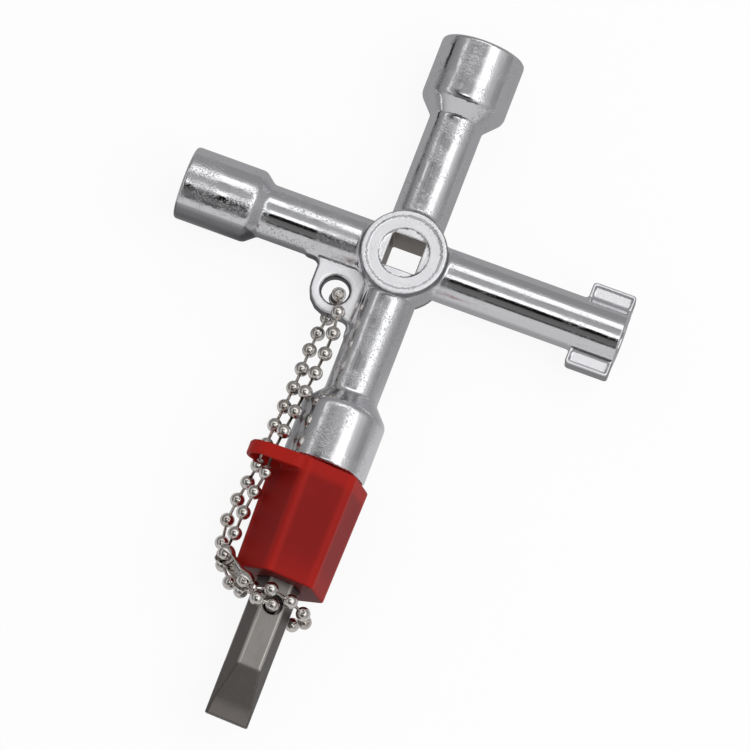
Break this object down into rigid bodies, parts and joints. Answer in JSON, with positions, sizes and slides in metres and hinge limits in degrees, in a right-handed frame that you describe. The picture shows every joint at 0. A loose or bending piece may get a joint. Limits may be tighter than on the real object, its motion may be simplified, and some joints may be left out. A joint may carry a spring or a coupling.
{
  "type": "multi utility key",
  "caption": "Cross-shaped cast key with square, triangle and double-bit ends, a square hub hole, and a plastic bit holder tied on by a looped ball chain.",
  "frame": {"origin": "centre of the hub's square hole, on the mid-plane of the arms", "axes": "+X along the double-bit arm, +Y along the upper socket arm, +Z out of the hub's face that the picture shows; the part lies flat"},
  "size_m": [0.0736, 0.1164, 0.0159],
  "materials": {
    "cast_chrome": "plated zinc casting, bright, with slight casting ripple",
    "red_plastic": "moulded plastic, satin",
    "bit_steel": "dark tempered tool steel",
    "chain_nickel": "nickel-plated, bright",
    "clip_nickel": "nickel-plated sheet"
  },
  "bodies": {
    "root": {"cross_body": "cast_chrome", "bit_holder": "red_plastic", "screwdriver_bit": "bit_steel", "chain_ball_01": "chain_nickel", "chain_ball_02": "chain_nickel", "chain_ball_03": "chain_nickel", "chain_ball_04": "chain_nickel", "chain_ball_05": "chain_nickel", "chain_ball_06": "chain_nickel", "chain_ball_07": "chain_nickel", "chain_ball_08": "chain_nickel", "chain_ball_09": "chain_nickel", "chain_ball_10": "chain_nickel", "chain_ball_11": "chain_nickel", "chain_ball_12": "chain_nickel", "chain_ball_13": "chain_nickel", "chain_ball_14": "chain_nickel", "chain_ball_15": "chain_nickel", "chain_ball_16": "chain_nickel", "chain_ball_17": "chain_nickel", "chain_ball_18": "chain_nickel", "chain_ball_19": "chain_nickel", "chain_ball_20": "chain_nickel", "chain_ball_21": "chain_nickel", "chain_ball_22": "chain_nickel", "chain_ball_23": "chain_nickel", "chain_ball_24": "chain_nickel", "chain_ball_25": "chain_nickel", "chain_ball_26": "chain_nickel", "chain_ball_27": "chain_nickel", "chain_ball_28": "chain_nickel", "chain_ball_29": "chain_nickel", "chain_ball_30": "chain_nickel", "chain_ball_31": "chain_nickel", "chain_ball_32": "chain_nickel", "chain_ball_33": "chain_nickel", "chain_ball_34": "chain_nickel", "chain_ball_35": "chain_nickel", "chain_ball_36": "chain_nickel", "chain_ball_37": "chain_nickel", "chain_ball_38": "chain_nickel", "chain_ball_39": "chain_nickel", "chain_ball_40": "chain_nickel", "chain_ball_41": "chain_nickel", "chain_ball_42": "chain_nickel", "chain_ball_43": "chain_nickel", "chain_clip": "clip_nickel"}
  },
  "joints": []
}
